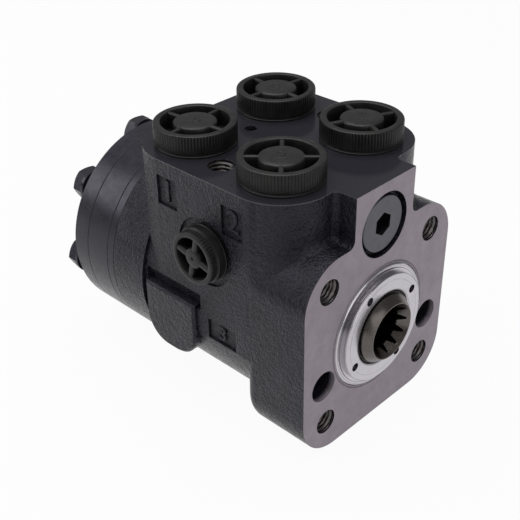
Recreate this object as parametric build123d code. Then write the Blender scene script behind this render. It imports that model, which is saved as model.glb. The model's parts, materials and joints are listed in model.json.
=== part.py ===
"""Load-sensing orbital steering unit: cast valve block, spool and sleeve, gerotor gear set, plugs.

Frame: origin in the middle of the mounting face, on the spline axis. +X points out of the
mounting face towards the steering column, +Z out of the port face, -Y towards the LS port.
All sizes in millimetres. One STEP file per named piece goes to parts/.
"""
import os
from math import atan2, cos, degrees, pi, radians, sin, sqrt, tan

from build123d import *

# ---- clearances ----------------------------------------------------------------------------------
RUN = 0.03              # radial gap of everything that turns or slides in a bore
SIDE = 0.02             # axial gap beside turning discs and needles
THREAD_GAP = 0.05       # radial gap between a screw body and its tapped hole
FREE = 0.2              # radial gap of a screw in a clearance hole

# ---- mounting flange -----------------------------------------------------------------------------
MOUNT_PCD = 82.5        # bolt circle of the four column screws
MOUNT_R = 5.0           # M10
MOUNT_DEPTH = 16.5
FLANGE_TOP = 41.0
FLANGE_BOTTOM = -42.5
FLANGE_T = 30.0
FLANGE_CORNER_R = 18.0
FLANGE_REAR_ROUND = 5.0
CAST_SPLIT_X = -17.0    # the casting is given as two solids that meet here

# ---- port block ----------------------------------------------------------------------------------
TOP_Z = 60.2            # machined port face
PORT_PITCH = 43.5       # square of the four ports
BLOCK_CORNER_R = 20.0   # round round each port
BLOCK_X = -50.85        # middle of the port square
NECK_HALF_W = 16.4
NECK_ROUND = 2.5
EAR_FILLET = 3.0        # where the flange ears meet the block
BODY_HALF_W = PORT_PITCH / 2 + BLOCK_CORNER_R
FLANGE_CORNER_Y = BODY_HALF_W - FLANGE_CORNER_R
LINE_THREAD_R = 5.0     # two M10 holes beside the port square
LINE_HOLE_X = -51.0
LINE_HOLE_Y = 29.5
LINE_HOLE_DEPTH = 14.0
GALLERY_HOLE_R = 2.5
GALLERY_HOLE_X = -65.4

# ---- barrel and gear-set drum --------------------------------------------------------------------
HOUSING_L = 103.3
BARREL_R = 42.5
DRUM_R = 43.6
DRUM_L = 18.4
PLATE_T = 4.0
GEAR_T = 13.0
COVER_T = 10.0
COVER_CHAMFER = 1.2

# ---- side boss, ledge and cast marking fields (on -Y) --------------------------------------------
BOSS_PROUD = 1.9        # boss face beyond the block's side
BOSS_X0, BOSS_X1 = -83.3, -55.0
BOSS_Z0, BOSS_Z1 = -22.6, 4.0
BOSS_ROUND = 11.8
BOSS_EDGE_ROUND = 1.0
LEDGE_H = 5.0           # sunk ledge over the boss
LEDGE_DEPTH = 2.2
LEDGE_REACH = 2.5       # ledge beyond the boss's front edge
FIELD_DEPTH = 0.8
UPPER_FIELDS_X = (-67.5, -33.8)
UPPER_FIELD = (10.4, 48.0, 12.0)       # width, middle height, height
LS_FIELD = (14.8, -3.2, 8.8)
LS_FIELD_X = -41.2

# ---- ports ---------------------------------------------------------------------------------------
PORT_R = 10.48          # G 1/2
PORT_DEPTH = 15.0
PORT_CHAMFER = 1.0
LS_R = 6.58             # G 1/4
LS_X, LS_Z = -48.5, 30.5
LS_DEPTH = 14.0
LS_SPOT_R = 13.7
LS_SPOT_DEPTH = 0.8
GALLERY_R = 3.2         # drillings from the ports to the bore
GALLERY_SHIFT = 4.2     # each port's drilling lies this far fore or aft of the port's middle
GALLERY_Y = 20.0
GALLERY_END_Z = 6.0
GROOVE_DEPTH = 4.5      # ring grooves in the main bore
GROOVE_MARGIN = 0.3
LS_GALLERY_R = 1.8

# ---- transit plugs -------------------------------------------------------------------------------
PLUG_HEAD_R = 15.7
PLUG_RIM_R = 14.3
PLUG_HEAD_H = 8.5
PLUG_WELL_R = 12.6      # open ring between rim and hub
PLUG_HUB_R = 8.0
PLUG_SPOKE_W = 2.1
PLUG_FLOOR = 2.0
PLUG_STEM_L = 11.0
LS_PLUG_SCALE = 0.7     # the small plug has the same form
PLUG_GAP = 0.12         # radial gap of the plastic thread
SPOKE_TURN = {"p": -25.0, "t": 42.0, "l": -6.0, "r": 6.0, "ls": -19.0}

# ---- spool, sleeve and cross pin -----------------------------------------------------------------
SPOOL_R = 14.0
SPOOL_BORE_R = 11.0
SPOOL_PROUD = 6.5
SPOOL_NOSE_ROUND = 2.4
SLEEVE_R = 19.0
SPLINE_TEETH = 12
SPLINE_MAJOR_R = 10.5
SPLINE_MINOR_R = 8.7
SPLINE_LEAD = 1.3
SPLINE_L = 20.0
PIN_R = 4.0
PIN_INSET = 18.8        # pin axis in front of the casting's rear face
PIN_FIT = 0.02
PIN_CHAMFER = 0.5
DEFLECTION = 8.0        # degrees of spool against sleeve each way
METER_SLOTS = 6
METER_SLOT_L, METER_SLOT_W, METER_SLOT_D = 28.0, 3.0, 1.2
SLEEVE_HOLES = 6
SLEEVE_HOLE_R = 1.3

# ---- centring springs ----------------------------------------------------------------------------
SPRING_W = 4.0
LEAF_T = 0.5
LEAVES = 3              # on each side
LEAF_INSET = 1.5        # leaf ends inside the sleeve's outside
LEAF_BOW = 1.28
SPRING_SETBACK = 1.2    # sleeve end to spring slot
SLOT_PLAY = 0.05
SPRING_RING_T = 0.7

# ---- front bush, seals and thrust bearing --------------------------------------------------------
BUSH_R = 25.2
BUSH_SEAT_X = -12.0
BUSH_LEDGE = 0.5
BUSH_STEP_R = 23.4
BUSH_BOSS_R = 22.16
BUSH_BOSS_PROUD = 2.65
BUSH_MOUTH_GAP = 1.1    # bush mouth round the spool
BUSH_LIP_T = 1.5
BUSH_WEB_GAP = 0.4
DUST_SEAL_R = 16.8
DUST_SEAL_T = 3.4
SHAFT_SEAL_R = 19.5
SHAFT_SEAL_T = 5.8
SPANNER_HOLES = 4
SPANNER_HOLE_R = 1.7
SPANNER_PCR = 18.8
SPANNER_TURN = 30.0
SPANNER_DEPTH = 3.5
CORD = 1.6              # O-ring cord
RACE_T = 1.2
RACE_GAP = 1.6          # race bore round the spool
RACE_R1 = 23.3
NEEDLE_R = 1.0
NEEDLES = 16
NEEDLE_L = 5.6
CAGE_T = 1.2
POCKET_PLAY = 0.06

# ---- gear set ------------------------------------------------------------------------------------
RING_LOBES = 7
ECCENTRIC = 3.0
LOBE_PCR = 31.5
LOBE_R = 7.5
MESH_GAP = 0.03
DRIVE_MAJOR_R = 12.2    # rotor's inner spline
DRIVE_MINOR_R = 10.3
HEAD_HALF_L = 4.0       # crowned spline head of the cardan
HEAD_TIP_R = 11.5
HEAD_ROOT_R = 9.4
FORK_GAP = 1.2          # fork inside the spool's bore
FORK_HALF_L = 7.0
FORK_PLAY = 0.12
CARDAN_NECK_R = 6.5
PLATE_BORE_R = 12.5
FEED_PCR = 26.0         # seven feed holes to the gear chambers
FEED_R = 2.0
FEED_TURN_INSET = 8.8   # feeds turn into the main bore this far in
SPACER_R = 10.0
SPACER_T = 1.2
SEAL_PCR = 31.4
SEAL_GROOVE_D = 1.2

# ---- cover screws --------------------------------------------------------------------------------
SCREW_R = 4.0           # M8
SCREW_PCR = 37.0
SCREW_HOLD = 17.0       # screw length in the housing
SCREW_AF = 13.0
SCREW_HEAD = 5.3
WASHER_R = 7.3
WASHER_T = 1.6

# ---- relief valve --------------------------------------------------------------------------------
RELIEF_BELOW_TOP = 16.9
RELIEF_SPOT_R = 12.66
RELIEF_SPOT_DEPTH = 3.0
RELIEF_THREAD_R = 11.0
RELIEF_THREAD_L = 15.0
RELIEF_PLUG_L = 12.3
RELIEF_PLUG_SET = 0.7   # plug face behind the mounting face
RELIEF_AF = 8.0
RELIEF_HEX_TURN = 27.0
RELIEF_BORE_R = 6.5
RELIEF_END_X = -48.0
SEAT_L = 4.6
SEAT_HOLE_R = 2.0
RELIEF_SOCKET_AF = 5.0
RELIEF_SCREW_L = 6.0
RELIEF_STEM_R = 2.6
POPPET_L = 5.0
RELIEF_COIL_R, RELIEF_WIRE_R = 4.2, 0.8
COIL_TURNS = 5

# ---- shock valves --------------------------------------------------------------------------------
SHOCK_Y, SHOCK_Z = 31.0, -11.2
SHOCK_MOUTH_R = 6.2
SHOCK_MOUTH_L = 9.0
SHOCK_R = 5.1
SHOCK_SEAT_X = -43.0
SHOCK_HOLE_R = 2.0
SHOCK_END_X = -72.0
SHOCK_SCREW_L = 9.0
SHOCK_BALL_R = 3.6
SHOCK_SOCKET_AF = 5.0
SHOCK_COIL_R, SHOCK_WIRE_R = 3.0, 0.7
SPRING_SHORT = 0.05     # play at a spring's end
SEAT_GAP = 0.01         # a ball's gap from its seat

# ---- check and suction valves --------------------------------------------------------------------
CHECK_BUSH_L = 4.0
CHECK_R = 5.1
CHECK_BALL_R = 3.9
CHECK_SOCKET_AF = 5.0
CHECK_LIFT = 0.8
SUCTION_PCR = 26.0
SUCTION_R = 3.2
SUCTION_L = 15.0
SUCTION_BALL_R = 2.6
SUCTION_HOLE_R = 1.5
STOP_R = 1.0

# ---- stations along the axis ---------------------------------------------------------------------
REAR_X = -HOUSING_L
PLATE_X = REAR_X - PLATE_T
RING_X = PLATE_X - GEAR_T
COVER_X = RING_X - COVER_T
GEAR_MID_X = (PLATE_X + RING_X) / 2
FLANGE_SPAN = TOP_Z + BODY_HALF_W   # reaches past the casting on every side
SLEEVE_X = BUSH_SEAT_X - 2 * RACE_T - 2 * NEEDLE_R - 2 * SIDE
SLEEVE_REAR_X = REAR_X + 0.15
SPRING_X = SLEEVE_X - SPRING_SETBACK - SPRING_W / 2
MAIN_BORE_R = SLEEVE_R + RUN
GROOVE_R = MAIN_BORE_R + GROOVE_DEPTH
PIN_X = REAR_X + PIN_INSET
LEAF_HALF_L = SLEEVE_R - LEAF_INSET
BUSH_MOUTH_R = SPOOL_R + BUSH_MOUTH_GAP
BUSH_WEB_R = SPOOL_R + BUSH_WEB_GAP
RACE_R0 = SPOOL_R + RACE_GAP
FORK_R = SPOOL_BORE_R - FORK_GAP
FEED_TURN_X = REAR_X + FEED_TURN_INSET
RELIEF_Z = TOP_Z - RELIEF_BELOW_TOP
RELIEF_SCREW_X0 = -RELIEF_THREAD_L - 1.0
RELIEF_SCREW_X1 = RELIEF_SCREW_X0 - RELIEF_SCREW_L
SEAT_X = RELIEF_END_X + SEAT_L
POPPET_GUIDE_X = SEAT_X + POPPET_L
SHOCK_SPRING_END = SHOCK_SEAT_X + sqrt(SHOCK_BALL_R ** 2 - SHOCK_HOLE_R ** 2) + SHOCK_BALL_R
CHECK_RISE = sqrt(CHECK_BALL_R ** 2 - GALLERY_R ** 2) + SEAT_GAP
CHECK_CAP = sqrt(CHECK_BALL_R ** 2 - (CHECK_SOCKET_AF / 2) ** 2)
CHECK_ROOM = CHECK_BUSH_L + CHECK_RISE + CHECK_LIFT + CHECK_CAP + RUN
TILT = degrees(atan2(ECCENTRIC, PIN_X - GEAR_MID_X))
LOBE_PITCH = 360 / RING_LOBES
LOBE_ANGLES = [90 + LOBE_PITCH * k for k in range(RING_LOBES)]
FEED_ANGLES = [angle + LOBE_PITCH / 2 for angle in LOBE_ANGLES]
SUCTION_ANGLES = {"left": LOBE_ANGLES[2], "right": LOBE_ANGLES[5]}
FRONT_PORT_X = BLOCK_X + PORT_PITCH / 2
REAR_PORT_X = BLOCK_X - PORT_PITCH / 2
PORTS = {   # place of each port and the station of its ring groove
    "p": (FRONT_PORT_X, PORT_PITCH / 2, FRONT_PORT_X + GALLERY_SHIFT),
    "t": (FRONT_PORT_X, -PORT_PITCH / 2, FRONT_PORT_X - GALLERY_SHIFT),
    "l": (REAR_PORT_X, PORT_PITCH / 2, REAR_PORT_X - GALLERY_SHIFT),
    "r": (REAR_PORT_X, -PORT_PITCH / 2, REAR_PORT_X + GALLERY_SHIFT),
}
GROOVE_W = 2 * (GALLERY_R + GROOVE_MARGIN)


# ---- helpers -------------------------------------------------------------------------------------
def bar(radius, x0, x1, y=0.0, z=0.0):
    """Round bar along X between the stations x0 and x1."""
    return extrude(Plane.YZ.offset(min(x0, x1)) * Pos(y, z) * Circle(radius), abs(x1 - x0), dir=(1, 0, 0))


def tube(r_out, r_in, x0, x1, y=0.0, z=0.0):
    return bar(r_out, x0, x1, y, z) - bar(r_in, min(x0, x1) - 1, max(x0, x1) + 1, y, z)


def post(radius, x, y, z0, z1):
    """Round bar along Z."""
    return extrude(Plane.XY.offset(min(z0, z1)) * Pos(x, y) * Circle(radius), abs(z1 - z0), dir=(0, 0, 1))


def block(x0, x1, y0, y1, z0, z1):
    size = (abs(x1 - x0), abs(y1 - y0), abs(z1 - z0))
    return Pos((x0 + x1) / 2, (y0 + y1) / 2, (z0 + z1) / 2) * Box(*size)


def turned(*points):
    """Solid of revolution about the X axis from (x, radius) points."""
    return revolve(make_face(Polyline(*points, close=True)), Axis.X)


def around(radius, angle):
    """Y and Z of a point on a circle round the main axis."""
    return radius * cos(radians(angle)), radius * sin(radians(angle))


def prism(sketch, x0, x1):
    """Extrudes a sketch (its x, y lie along Y, Z) between two stations."""
    return extrude(Plane.YZ.offset(min(x0, x1)) * sketch, abs(x1 - x0), dir=(1, 0, 0))


def hexagon(across_flats):
    return RegularPolygon(across_flats / 2, 6, major_radius=False)


def spline_sketch(minor_r, major_r, half_low, half_high):
    """Round core with one tapered tooth (or space) per pitch; half widths in degrees at both radii."""
    low, high = minor_r * 0.9, major_r * 1.05
    tooth = Polygon((low * cos(radians(half_low)), -low * sin(radians(half_low))),
                    (high * cos(radians(half_high)), -high * sin(radians(half_high))),
                    (high * cos(radians(half_high)), high * sin(radians(half_high))),
                    (low * cos(radians(half_low)), low * sin(radians(half_low))), align=None)
    teeth = [Rot(0, 0, 360 * k / SPLINE_TEETH) * tooth for k in range(SPLINE_TEETH)]
    return (Circle(minor_r) + teeth) & Circle(major_r)


def seal_cord(mean_r, x0, x1, width):
    """O-ring squeezed into its groove: a rectangle with broken corners turned about the X axis."""
    section = chamfer(Rectangle(abs(x1 - x0), width).vertices(), 0.3)
    return revolve(Pos((x0 + x1) / 2, mean_r) * section, Axis.X)


def coil(mean_r, wire_r, x0, x1, y, z):
    """Compression spring along X with the wire's middle on a helix."""
    low, high = min(x0, x1) + wire_r, max(x0, x1) - wire_r
    path = Helix(pitch=(high - low) / COIL_TURNS, height=high - low, radius=mean_r)
    section = Plane(origin=path @ 0, z_dir=path % 0) * RegularPolygon(wire_r, 6)
    spring = sweep(section, path=path, is_frenet=True)
    return Pos(low, y, z) * Rot(0, 90, 0) * spring


# ---- housing -------------------------------------------------------------------------------------
def flange_outline():
    height = FLANGE_TOP - FLANGE_BOTTOM
    plate = Pos(0, (FLANGE_TOP + FLANGE_BOTTOM) / 2) * Rectangle(2 * BODY_HALF_W, height)
    return fillet(plate.vertices(), FLANGE_CORNER_R)


def ear_edges(body):
    """Inner edges where the flange's ears run into the port block and its neck."""
    def inner(edge):
        box, middle = edge.bounding_box(), edge.center()
        at_ear = box.max.Z > FLANGE_TOP - 0.1 and box.max.Z < FLANGE_TOP + 0.1
        beside_neck = abs(middle.Y) > NECK_HALF_W - 0.1 and box.min.X < -NECK_ROUND
        straight_ear = edge.geom_type == GeomType.LINE and abs(abs(middle.Y) - FLANGE_CORNER_Y) < 0.1
        return at_ear and beside_neck and not straight_ear and box.min.X > -FLANGE_T
    return body.edges().filter_by(inner)


def housing_body():
    """Outside of the casting: flange, neck, port block, barrel, drum and the side boss."""
    flange = prism(flange_outline(), 0, -FLANGE_T)
    flange = fillet(flange.edges().group_by(Axis.X)[0], FLANGE_REAR_ROUND)
    port_square = PORT_PITCH + 2 * BLOCK_CORNER_R
    footprint = Pos(BLOCK_X, 0) * RectangleRounded(port_square, port_square, BLOCK_CORNER_R - 0.01)
    neck = Pos(BLOCK_X / 2, 0) * Rectangle(-BLOCK_X, 2 * NECK_HALF_W)
    footprint = footprint + neck
    inner = footprint.vertices().filter_by(lambda v: abs(abs(v.Y) - NECK_HALF_W) < 0.1 and v.X < -1)
    footprint = fillet(inner, NECK_ROUND)
    upper = extrude(footprint, TOP_Z, dir=(0, 0, 1))
    barrel = bar(BARREL_R, REAR_X + 1, -1) & block(REAR_X, 0, -BODY_HALF_W, BODY_HALF_W, -60, 60)
    drum = bar(DRUM_R, REAR_X, REAR_X + DRUM_L)
    body = fillet(ear_edges(flange + upper + barrel), EAR_FILLET) + drum
    face = -BODY_HALF_W
    boss = block(BOSS_X0, BOSS_X1, face - BOSS_PROUD, face / 2, BOSS_Z0, BOSS_Z1)
    boss = fillet(boss.edges().filter_by(Axis.Y).group_by(Axis.Z)[0], BOSS_ROUND)
    boss = chamfer(boss.edges().group_by(Axis.Y)[0], BOSS_EDGE_ROUND)
    ledge_top = BOSS_Z1 + 1.2 * LEDGE_H
    slope = Polyline((face - BOSS_PROUD, BOSS_Z1 - 1), (face + LEDGE_DEPTH, BOSS_Z1 - 1),
                     (face + LEDGE_DEPTH, BOSS_Z1 + LEDGE_H / 3), (face + LEDGE_DEPTH / 2, BOSS_Z1 + LEDGE_H),
                     (face, ledge_top), (face - BOSS_PROUD, ledge_top), close=True)
    ledge = prism(make_face(slope), BOSS_X0, BOSS_X1 + LEDGE_REACH)
    return body - ledge + boss


def port_cuts():
    """Ports on top, their drillings down to ring grooves in the main bore, and the LS port."""
    cuts = []
    for port_x, port_y, station in PORTS.values():
        cuts.append(post(PORT_R, port_x, port_y, TOP_Z - PORT_DEPTH, TOP_Z + 1))
        lead = Cone(PORT_R, PORT_R + PORT_CHAMFER, PORT_CHAMFER)
        cuts.append(Pos(port_x, port_y, TOP_Z - PORT_CHAMFER / 2) * lead)
        side = GALLERY_Y if port_y > 0 else -GALLERY_Y
        cuts.append(post(GALLERY_R, station, side, GALLERY_END_Z, TOP_Z - PORT_DEPTH + 1))
        cuts.append(bar(GROOVE_R, station - GROOVE_W / 2, station + GROOVE_W / 2))
    check_x, check_y = PORTS["p"][2], GALLERY_Y
    cuts.append(post(CHECK_R, check_x, check_y, TOP_Z - PORT_DEPTH - CHECK_ROOM, TOP_Z - PORT_DEPTH + 1))
    face = -BODY_HALF_W
    ls_axis = Plane(origin=(LS_X, face, LS_Z), z_dir=(0, 1, 0))
    cuts.append(extrude(ls_axis * Circle(LS_SPOT_R), LS_SPOT_DEPTH, both=True))
    cuts.append(extrude(ls_axis * Circle(LS_R), LS_DEPTH))
    cuts.append(extrude(ls_axis * Circle(LS_GALLERY_R), BODY_HALF_W - MAIN_BORE_R / 2))
    cuts.append(post(LS_GALLERY_R, LS_X, -MAIN_BORE_R / 2, 0, LS_Z))
    cuts.append(bar((MAIN_BORE_R + GROOVE_R) / 2, LS_X - 1.5 * LS_GALLERY_R, LS_X + 1.5 * LS_GALLERY_R))
    return cuts


def relief_cuts():
    thread_end = -RELIEF_THREAD_L
    return [bar(RELIEF_SPOT_R, -RELIEF_SPOT_DEPTH, 1, 0, RELIEF_Z),
            bar(RELIEF_THREAD_R, thread_end, 0, 0, RELIEF_Z),
            bar(RELIEF_BORE_R, RELIEF_END_X, thread_end + 1, 0, RELIEF_Z),
            bar(GALLERY_HOLE_R, GALLERY_HOLE_X, RELIEF_END_X + 1, 0, RELIEF_Z),
            post(GALLERY_HOLE_R, GALLERY_HOLE_X, 0, RELIEF_Z, TOP_Z + 1)]


def shock_cuts():
    cuts = []
    for side in (-1, 1):
        y = side * SHOCK_Y
        cuts.append(bar(SHOCK_MOUTH_R, -SHOCK_MOUTH_L, 1, y, SHOCK_Z))
        cuts.append(bar(SHOCK_R, SHOCK_SEAT_X, 0, y, SHOCK_Z))
        cuts.append(bar(SHOCK_HOLE_R, SHOCK_END_X, SHOCK_SEAT_X + 1, y, SHOCK_Z))
    return cuts


def rear_cuts():
    """Tapped holes, feeds, suction bores and the O-ring groove in the rear face."""
    cuts = [tube(SEAL_PCR + CORD / 2, SEAL_PCR - CORD / 2, REAR_X + SEAL_GROOVE_D, REAR_X)]
    for angle in LOBE_ANGLES:
        y, z = around(SCREW_PCR, angle)
        cuts.append(bar(SCREW_R, REAR_X, REAR_X + SCREW_HOLD + 3, y, z))
    for angle in FEED_ANGLES:
        y, z = around(FEED_PCR, angle)
        cuts.append(bar(FEED_R, REAR_X, FEED_TURN_X + 1.5 * FEED_R, y, z))
        inward = Plane(origin=(FEED_TURN_X, y, z), z_dir=(0, -y, -z))
        cuts.append(extrude(inward * Circle(0.8 * FEED_R), FEED_PCR - MAIN_BORE_R + 1))
    for angle in SUCTION_ANGLES.values():
        y, z = around(SUCTION_PCR, angle)
        cuts.append(bar(SUCTION_R, REAR_X, REAR_X + SUCTION_L, y, z))
        cuts.append(bar(SUCTION_HOLE_R, REAR_X, REAR_X + 2 * SUCTION_L, y, z))
    return cuts


def marking_fields():
    """Shallow cast fields on the -Y side; they stay blank."""
    fields = []
    for x in UPPER_FIELDS_X:
        width, middle, height = UPPER_FIELD
        fields.append(block(x - width / 2, x + width / 2, -BODY_HALF_W - 1, -BODY_HALF_W + FIELD_DEPTH,
                            middle - height / 2, middle + height / 2))
    width, middle, height = LS_FIELD
    fields.append(block(LS_FIELD_X - width / 2, LS_FIELD_X + width / 2, -BODY_HALF_W - 1,
                        -BODY_HALF_W + FIELD_DEPTH, middle - height / 2, middle + height / 2))
    return fields


def housing():
    cuts = [bar(MAIN_BORE_R, REAR_X - 1, 1),
            bar(BUSH_R + THREAD_GAP, BUSH_SEAT_X, 1),
            bar(RACE_R1 + THREAD_GAP, SLEEVE_X, 0)]
    offset = MOUNT_PCD / 2 * cos(pi / 4)
    for y in (-offset, offset):
        for z in (-offset, offset):
            cuts.append(bar(MOUNT_R, -MOUNT_DEPTH, 1, y, z))
    for side in (-1, 1):
        cuts.append(post(LINE_THREAD_R, LINE_HOLE_X, side * LINE_HOLE_Y, TOP_Z - LINE_HOLE_DEPTH, TOP_Z + 1))
    casting = housing_body()
    for cut in cuts + port_cuts() + relief_cuts() + shock_cuts() + rear_cuts() + marking_fields():
        casting -= cut
    return casting


def mounting_flange(casting):
    """The casting in front of the split, with the mounting face and the bush's seat."""
    return casting & block(CAST_SPLIT_X, 1, -FLANGE_SPAN, FLANGE_SPAN, -FLANGE_SPAN, FLANGE_SPAN)


def valve_housing(casting):
    return casting & block(REAR_X - 1, CAST_SPLIT_X, -FLANGE_SPAN, FLANGE_SPAN, -FLANGE_SPAN, FLANGE_SPAN)


# ---- front bush, seals and thrust bearing --------------------------------------------------------
def front_bush():
    seal_x = BUSH_SEAT_X + SHAFT_SEAL_T + 0.1
    dust_front = BUSH_BOSS_PROUD - BUSH_LIP_T
    dust_rear = dust_front - DUST_SEAL_T
    body = turned((BUSH_SEAT_X, SHAFT_SEAL_R), (BUSH_SEAT_X, BUSH_R), (BUSH_LEDGE - 0.6, BUSH_R),
                  (BUSH_LEDGE, BUSH_R - 0.6), (BUSH_LEDGE, BUSH_STEP_R), (BUSH_LEDGE + 0.35, BUSH_STEP_R),
                  (BUSH_LEDGE + 0.35, BUSH_BOSS_R), (BUSH_BOSS_PROUD - 0.4, BUSH_BOSS_R),
                  (BUSH_BOSS_PROUD, BUSH_BOSS_R - 0.4), (BUSH_BOSS_PROUD, BUSH_MOUTH_R + 0.3),
                  (BUSH_BOSS_PROUD - 0.3, BUSH_MOUTH_R), (dust_front, BUSH_MOUTH_R), (dust_front, DUST_SEAL_R),
                  (dust_rear, DUST_SEAL_R), (dust_rear, BUSH_WEB_R), (seal_x, BUSH_WEB_R),
                  (seal_x, SHAFT_SEAL_R))
    groove_x = BUSH_SEAT_X + 1.4
    body -= tube(BUSH_R + 1, BUSH_R - CORD + 0.2, groove_x, groove_x + CORD)
    for k in range(SPANNER_HOLES):
        y, z = around(SPANNER_PCR, SPANNER_TURN + 360 * k / SPANNER_HOLES)
        body -= bar(SPANNER_HOLE_R, BUSH_BOSS_PROUD - SPANNER_DEPTH, BUSH_BOSS_PROUD + 1, y, z)
    return body


def bush_o_ring():
    groove_x = BUSH_SEAT_X + 1.4
    inner, outer = BUSH_R - CORD + 0.2, BUSH_R + THREAD_GAP
    return seal_cord((inner + outer) / 2, groove_x, groove_x + CORD, outer - inner)


def dust_seal():
    """Wiper with a thin lip that leans forward out of the bush mouth."""
    front = BUSH_BOSS_PROUD - BUSH_LIP_T
    inner = SPOOL_R + RUN
    lip_x = BUSH_BOSS_PROUD - 0.5
    return turned((front - DUST_SEAL_T, inner + 0.6), (front - DUST_SEAL_T, DUST_SEAL_R), (front, DUST_SEAL_R),
                  (front, inner + 0.7), (lip_x, inner + 0.5), (lip_x, inner), (front, inner + 0.2))


def shaft_seal():
    """Lip seal: stiff heel on the bush web, groove between lips open to the pressure side."""
    front = BUSH_SEAT_X + SHAFT_SEAL_T + 0.1
    rear = front - SHAFT_SEAL_T
    inner = SPOOL_R + RUN
    middle = (inner + SHAFT_SEAL_R) / 2
    return turned((front, inner + 0.5), (front, SHAFT_SEAL_R), (rear, SHAFT_SEAL_R), (rear, middle + 1.2),
                  (front - 2.2, middle + 0.3), (front - 2.2, middle - 0.3), (rear, middle - 1.0), (rear, inner))


def bearing_race_outer():
    return tube(RACE_R1, RACE_R0, BUSH_SEAT_X, BUSH_SEAT_X - RACE_T)


def bearing_race_inner():
    return tube(RACE_R1 - 0.3, RACE_R0 - 0.6, SLEEVE_X + RACE_T, SLEEVE_X)


def needle_axes():
    """Planes at the inner end of each needle, pointing outwards."""
    middle_x = BUSH_SEAT_X - RACE_T - SIDE - NEEDLE_R
    start_r = (RACE_R0 + RACE_R1 - NEEDLE_L) / 2
    planes = []
    for k in range(NEEDLES):
        y, z = around(start_r, 360 * k / NEEDLES)
        planes.append(Plane(origin=(middle_x, y, z), z_dir=(0, y, z)))
    return planes


def bearing_needles():
    return Compound([extrude(axis * Circle(NEEDLE_R), NEEDLE_L) for axis in needle_axes()])


def bearing_cage():
    middle_x = BUSH_SEAT_X - RACE_T - SIDE - NEEDLE_R
    cage = tube(RACE_R1 - 0.4, RACE_R0 + 0.1, middle_x + CAGE_T / 2, middle_x - CAGE_T / 2)
    pockets = [extrude(axis.offset(-POCKET_PLAY) * Circle(NEEDLE_R + POCKET_PLAY), NEEDLE_L + 2 * POCKET_PLAY)
               for axis in needle_axes()]
    return cage - pockets


# ---- spool, sleeve, pin and springs --------------------------------------------------------------
def spring_slot(reach):
    half = LEAF_BOW + LEAVES * LEAF_T + SLOT_PLAY + 0.02
    half_w = SPRING_W / 2 + SLOT_PLAY
    return block(SPRING_X - half_w, SPRING_X + half_w, -reach, reach, -half, half)


def across(radius, x):
    """Round bar along Y through the main axis."""
    return extrude(Plane(origin=(x, 0, 0), z_dir=(0, 1, 0)) * Circle(radius), SLEEVE_R + 5, both=True)


def spool():
    rear = SLEEVE_REAR_X
    body = bar(SPOOL_R, rear, SPOOL_PROUD)
    body = fillet(body.edges().sort_by(Axis.X)[-1:], SPOOL_NOSE_ROUND)
    mouth = SPOOL_PROUD - SPLINE_LEAD
    body -= bar(SPOOL_BORE_R, rear - 1, mouth - SPLINE_L)
    body -= prism(spline_sketch(SPLINE_MINOR_R, SPLINE_MAJOR_R, 8.4, 5.4), mouth - SPLINE_L - 1, mouth)
    body -= turned((mouth, 0), (mouth, SPLINE_MAJOR_R), (SPOOL_PROUD, SPLINE_MAJOR_R + 0.5), (SPOOL_PROUD, 0))
    body -= spring_slot(SPOOL_R + 1)
    swing = SPOOL_R * sin(radians(DEFLECTION)) + PIN_R + 0.15
    body -= across(swing, PIN_X)
    middle = (PORTS["r"][2] + PORTS["t"][2]) / 2
    for k in range(METER_SLOTS):
        slot = block(middle - METER_SLOT_L / 2, middle + METER_SLOT_L / 2, -METER_SLOT_W / 2, METER_SLOT_W / 2,
                     SPOOL_R - METER_SLOT_D, SPOOL_R + 1)
        body -= Rot(360 * k / METER_SLOTS, 0, 0) * slot
    return body


def sleeve():
    body = tube(SLEEVE_R, SPOOL_R + RUN, SLEEVE_X, SLEEVE_REAR_X)
    body -= spring_slot(SLEEVE_R + 1)
    body -= across(PIN_R + PIN_FIT, PIN_X)
    ring_half = SPRING_W / 2 + SPRING_SETBACK / 2
    body -= tube(SLEEVE_R + 1, SLEEVE_R - SPRING_RING_T - 0.1, SPRING_X + ring_half, SPRING_X - ring_half)
    rows = [(station, 0) for _, _, station in PORTS.values()] + [(LS_X, 15), (FEED_TURN_X, 30)]
    for station, turn in rows:
        for k in range(SLEEVE_HOLES):
            y, z = around(SLEEVE_R + 1, turn + 360 * (k + 0.5) / SLEEVE_HOLES)
            inward = Plane(origin=(station, y, z), z_dir=(0, -y, -z))
            body -= extrude(inward * Circle(SLEEVE_HOLE_R), SLEEVE_R - SPOOL_R + 2)
    return body


def spring_ring():
    half = SPRING_W / 2 + SPRING_SETBACK / 2 - 0.1
    return tube(SLEEVE_R - 0.1, SLEEVE_R - SPRING_RING_T, SPRING_X + half, SPRING_X - half)


def centring_springs():
    """Two packs of bowed leaves, back to back, through slots in spool and sleeve."""
    arc_r = (LEAF_HALF_L ** 2 + LEAF_BOW ** 2) / (2 * LEAF_BOW)
    leaves = []
    for side in (-1, 1):
        for k in range(LEAVES):
            outer = arc_r - k * LEAF_T
            band = Circle(outer) - Circle(outer - LEAF_T + 0.02)
            leaf = (Pos(0, side * (arc_r + 0.02)) * band) & Rectangle(2 * LEAF_HALF_L, 4 * LEAVES * LEAF_T)
            leaves.append(prism(leaf, SPRING_X - SPRING_W / 2, SPRING_X + SPRING_W / 2))
    return Compound(leaves)


def cross_pin():
    reach = sqrt(SLEEVE_R ** 2 - (PIN_R - PIN_CHAMFER) ** 2) - RUN
    pin = extrude(Plane(origin=(PIN_X, 0, 0), z_dir=(0, 1, 0)) * Circle(PIN_R), reach, both=True)
    return chamfer(pin.edges().filter_by(GeomType.CIRCLE), PIN_CHAMFER)


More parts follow.
